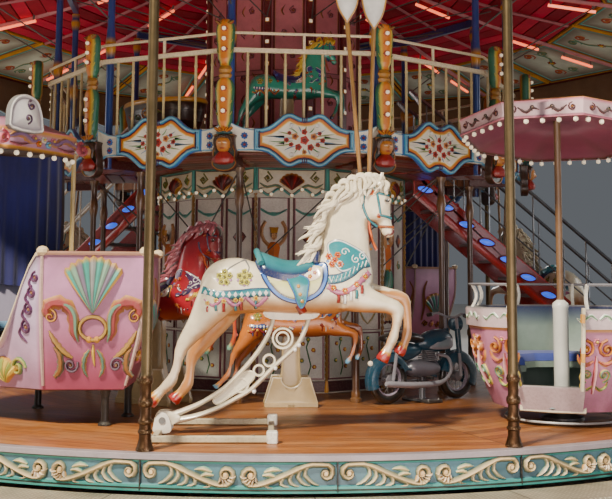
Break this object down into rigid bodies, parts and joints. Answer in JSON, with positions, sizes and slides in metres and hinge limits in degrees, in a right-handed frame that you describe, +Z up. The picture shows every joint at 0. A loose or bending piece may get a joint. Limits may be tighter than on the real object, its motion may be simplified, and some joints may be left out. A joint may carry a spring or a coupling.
{
  "type": "double-deck fairground carousel",
  "caption": "Double-deck carousel: turning platform with rocking horses, gondolas, spinning tubs, stairs, a gallery on columns and a conical roof",
  "frame": {"origin": "on the turning axis at ground level", "axes": "+Z up along the turning axis; -Y is the side seen from the front, with +X to its right"},
  "size_m": [10.32, 10.32, 7.03],
  "materials": {
    "plate": "worn chequer plate, dusty",
    "steel": "dark painted frame",
    "planks": "varnished planks, worn",
    "rim_paint": "teal boards with cream and gold carving",
    "pole_bronze": "turned pole, tarnished",
    "column_paint": "blue gloss paint",
    "fascia_paint": "painted moulded boards",
    "balustrade_paint": "cream paint",
    "drum_paint": "painted panels with ornament",
    "ceiling_paint": "crimson boards with pale ribs",
    "roof_paint": "painted sheet panels",
    "cornice_paint": "painted crown boards",
    "stair_paint": "red paint",
    "handrail_metal": "satin",
    "stand_paint": "cream paint, chipped",
    "horse_paint": "cream white with painted harness",
    "red_horse_paint": "red with painted harness",
    "gold_horse_paint": "orange gold with painted harness",
    "green_horse_paint": "green with painted harness",
    "gondola_paint": "mauve pink with carved ornament",
    "tub_paint": "pink with painted scrolls",
    "bike_paint": "blue grey gloss",
    "boat_paint": "dark brown gloss"
  },
  "bodies": {
    "base": {"step_ring": "plate", "base_frame": "steel"},
    "turntable": {"deck": "planks", "upper_deck": "planks", "rim_boards": "rim_paint", "outer_pole_01": "pole_bronze", "outer_pole_02": "pole_bronze", "outer_pole_03": "pole_bronze", "outer_pole_04": "pole_bronze", "outer_pole_05": "pole_bronze", "outer_pole_06": "pole_bronze", "outer_pole_07": "pole_bronze", "outer_pole_08": "pole_bronze", "outer_pole_09": "pole_bronze", "outer_pole_10": "pole_bronze", "outer_pole_11": "pole_bronze", "outer_pole_12": "pole_bronze", "column_row_1": "column_paint", "column_row_2": "column_paint", "column_row_3": "column_paint", "column_row_4": "column_paint", "fascia_front": "fascia_paint", "fascia_rear": "fascia_paint", "balustrade_1": "balustrade_paint", "balustrade_2": "balustrade_paint", "balustrade_3": "balustrade_paint", "balustrade_4": "balustrade_paint", "balustrade_5": "balustrade_paint", "lower_drum": "drum_paint", "upper_drum": "drum_paint", "ceiling": "ceiling_paint", "roof": "roof_paint", "cornice": "cornice_paint", "stair_right": "stair_paint", "stair_left": "stair_paint", "stair_right_handrail_a": "handrail_metal", "stair_right_handrail_b": "handrail_metal", "stair_left_handrail_a": "handrail_metal", "stair_left_handrail_b": "handrail_metal", "horse_stand_01": "stand_paint", "horse_stand_02": "stand_paint", "horse_stand_03": "stand_paint", "horse_stand_04": "stand_paint", "horse_stand_05": "stand_paint", "inner_horse_1": "red_horse_paint", "inner_horse_2": "gold_horse_paint", "upper_horse_1": "green_horse_paint", "upper_horse_2": "green_horse_paint", "gondola_1": "gondola_paint", "gondola_2": "gondola_paint", "motorbike": "bike_paint", "boat_1": "boat_paint", "boat_2": "boat_paint"},
    "horse_body_1": {"rocking_horse_01": "horse_paint"},
    "horse_body_2": {"rocking_horse_02": "horse_paint"},
    "horse_body_3": {"rocking_horse_03": "horse_paint"},
    "horse_body_4": {"rocking_horse_04": "horse_paint"},
    "horse_body_5": {"rocking_horse_05": "horse_paint"},
    "tub_body_1": {"tub_1": "tub_paint"},
    "tub_body_2": {"tub_2": "tub_paint"}
  },
  "joints": [
    {"name": "platform_spin", "type": "hinge", "parent": "base", "child": "turntable", "pos_m": [0, 0, 0.4], "axis": [0, 0, 1], "continuous": true},
    {"name": "horse_rock_1", "type": "hinge", "parent": "turntable", "child": "horse_body_1", "pos_m": [-1.10303, -3.73215, 0.5303], "axis": [0.0698, 0.9976, 0], "range_deg": [-5, 4]},
    {"name": "horse_rock_2", "type": "hinge", "parent": "turntable", "child": "horse_body_2", "pos_m": [3.04719, -2.4208, 0.5303], "axis": [-0.8988, 0.4384, 0], "range_deg": [-5, 4]},
    {"name": "horse_rock_3", "type": "hinge", "parent": "turntable", "child": "horse_body_3", "pos_m": [3.81313, 0.77822, 0.5303], "axis": [-0.9135, -0.4067, 0], "range_deg": [-5, 4]},
    {"name": "horse_rock_4", "type": "hinge", "parent": "turntable", "child": "horse_body_4", "pos_m": [-1.4915, 3.59458, 0.5303], "axis": [0.5736, -0.8192, 0], "range_deg": [-5, 4]},
    {"name": "horse_rock_5", "type": "hinge", "parent": "turntable", "child": "horse_body_5", "pos_m": [-3.827, 0.70687, 0.5303], "axis": [0.9994, 0.0349, 0], "range_deg": [-5, 4]},
    {"name": "tub_spin_1", "type": "hinge", "parent": "turntable", "child": "tub_body_1", "pos_m": [1.96982, -3.21445, 0.6], "axis": [0, 0, 1], "continuous": true},
    {"name": "tub_spin_2", "type": "hinge", "parent": "turntable", "child": "tub_body_2", "pos_m": [-0.45945, 3.7419, 0.6], "axis": [0, 0, 1], "continuous": true}
  ]
}
